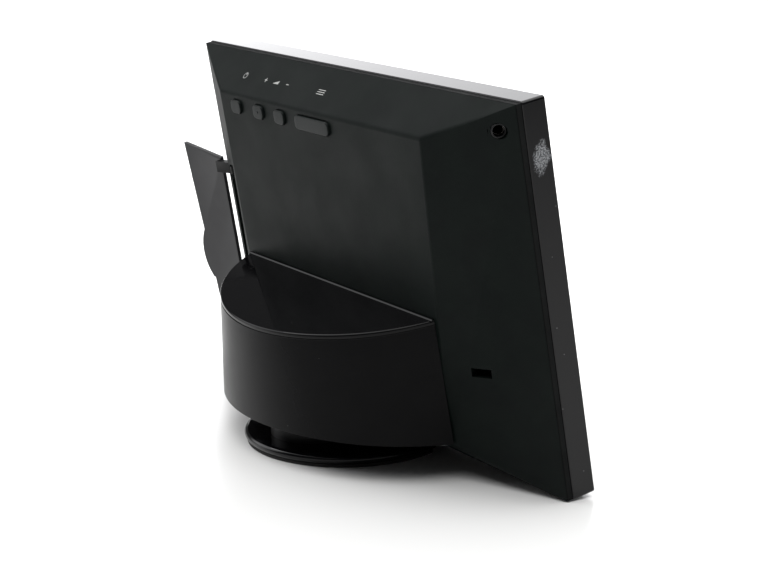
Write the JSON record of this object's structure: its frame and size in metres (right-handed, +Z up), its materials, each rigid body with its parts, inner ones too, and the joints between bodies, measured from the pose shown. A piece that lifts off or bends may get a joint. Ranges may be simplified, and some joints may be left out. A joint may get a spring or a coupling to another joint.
{
  "type": "digital photo frame",
  "caption": "Leaning digital photo frame with a drum speaker housing and round foot behind, rear buttons and an open side socket door.",
  "frame": {"origin": "centre of the foot pad's underside, on the table", "axes": "+Z up; the screen faces -Y and leans back; +X is to the right of a person facing the screen"},
  "size_m": [0.2212, 0.0699, 0.13],
  "materials": {
    "gloss_black": "gloss",
    "acrylic_window": "polished",
    "lcd_glass": "polished",
    "backlight_white": "matte",
    "steel_tray": "rolled",
    "screw_steel": "plated",
    "strip_black": "satin",
    "textured_black": "fine spark texture",
    "board_green": "solder mask",
    "chip_black": "moulded",
    "tin_plate": "tinned",
    "flex_amber": "polyimide",
    "button_black": "fine spark texture",
    "door_black": "satin",
    "drum_black": "semi-gloss",
    "cap_black": "high gloss",
    "speaker_steel": "painted",
    "cone_paper": "paper",
    "magnet_grey": "ferrite",
    "foot_rubber": "matte"
  },
  "bodies": {
    "root": {"front_bezel": "gloss_black", "front_window": "acrylic_window", "lcd_panel": "lcd_glass", "lcd_backlight": "backlight_white", "lcd_tray": "steel_tray", "tray_screws": "screw_steel", "mid_frame": "strip_black", "rear_housing": "textured_black", "main_board": "board_green", "board_screws": "screw_steel", "processor_shield": "tin_plate", "memory_chips": "chip_black", "lcd_flex": "flex_amber", "button_board": "board_green", "tact_switches": "tin_plate", "headphone_jack": "chip_black", "lock_plate": "steel_tray", "socket_tray": "strip_black", "card_socket": "tin_plate", "usb_port": "tin_plate", "mini_usb_port": "tin_plate", "dc_inlet": "chip_black", "door_pin": "screw_steel", "drum_shell": "drum_black", "drum_cap": "cap_black", "drum_floor": "strip_black", "floor_screws": "screw_steel", "left_speaker_basket": "speaker_steel", "left_speaker_cone": "cone_paper", "left_speaker_magnet": "magnet_grey", "right_speaker_basket": "speaker_steel", "right_speaker_cone": "cone_paper", "right_speaker_magnet": "magnet_grey", "foot_stem": "strip_black", "foot_plate": "gloss_black", "foot_pad": "foot_rubber", "foot_screws": "screw_steel", "front_feet": "foot_rubber"},
    "door": {"side_door": "door_black"},
    "sleep_key": {"sleep_button": "button_black"},
    "volume_up_key": {"volume_up_button": "button_black"},
    "volume_down_key": {"volume_down_button": "button_black"},
    "menu_key": {"menu_button": "button_black"}
  },
  "joints": [
    {"name": "door_hinge", "type": "hinge", "parent": "root", "child": "door", "pos_m": [0.09411, -0.0136, 0.04552], "axis": [0, 0.1564, 0.9877], "range_deg": [0, 143]},
    {"name": "sleep_press", "type": "slide", "parent": "root", "child": "sleep_key", "axis": [0, -0.9907, 0.1359], "range_m": [0, 0.0005], "stiffness_N_per_m": 900, "springref_m": -0.0004},
    {"name": "volume_up_press", "type": "slide", "parent": "root", "child": "volume_up_key", "axis": [0, -0.9907, 0.1359], "range_m": [0, 0.0005], "stiffness_N_per_m": 900, "springref_m": -0.0004},
    {"name": "volume_down_press", "type": "slide", "parent": "root", "child": "volume_down_key", "axis": [0, -0.9907, 0.1359], "range_m": [0, 0.0005], "stiffness_N_per_m": 900, "springref_m": -0.0004},
    {"name": "menu_press", "type": "slide", "parent": "root", "child": "menu_key", "axis": [0, -0.9907, 0.1359], "range_m": [0, 0.0005], "stiffness_N_per_m": 900, "springref_m": -0.0004}
  ]
}
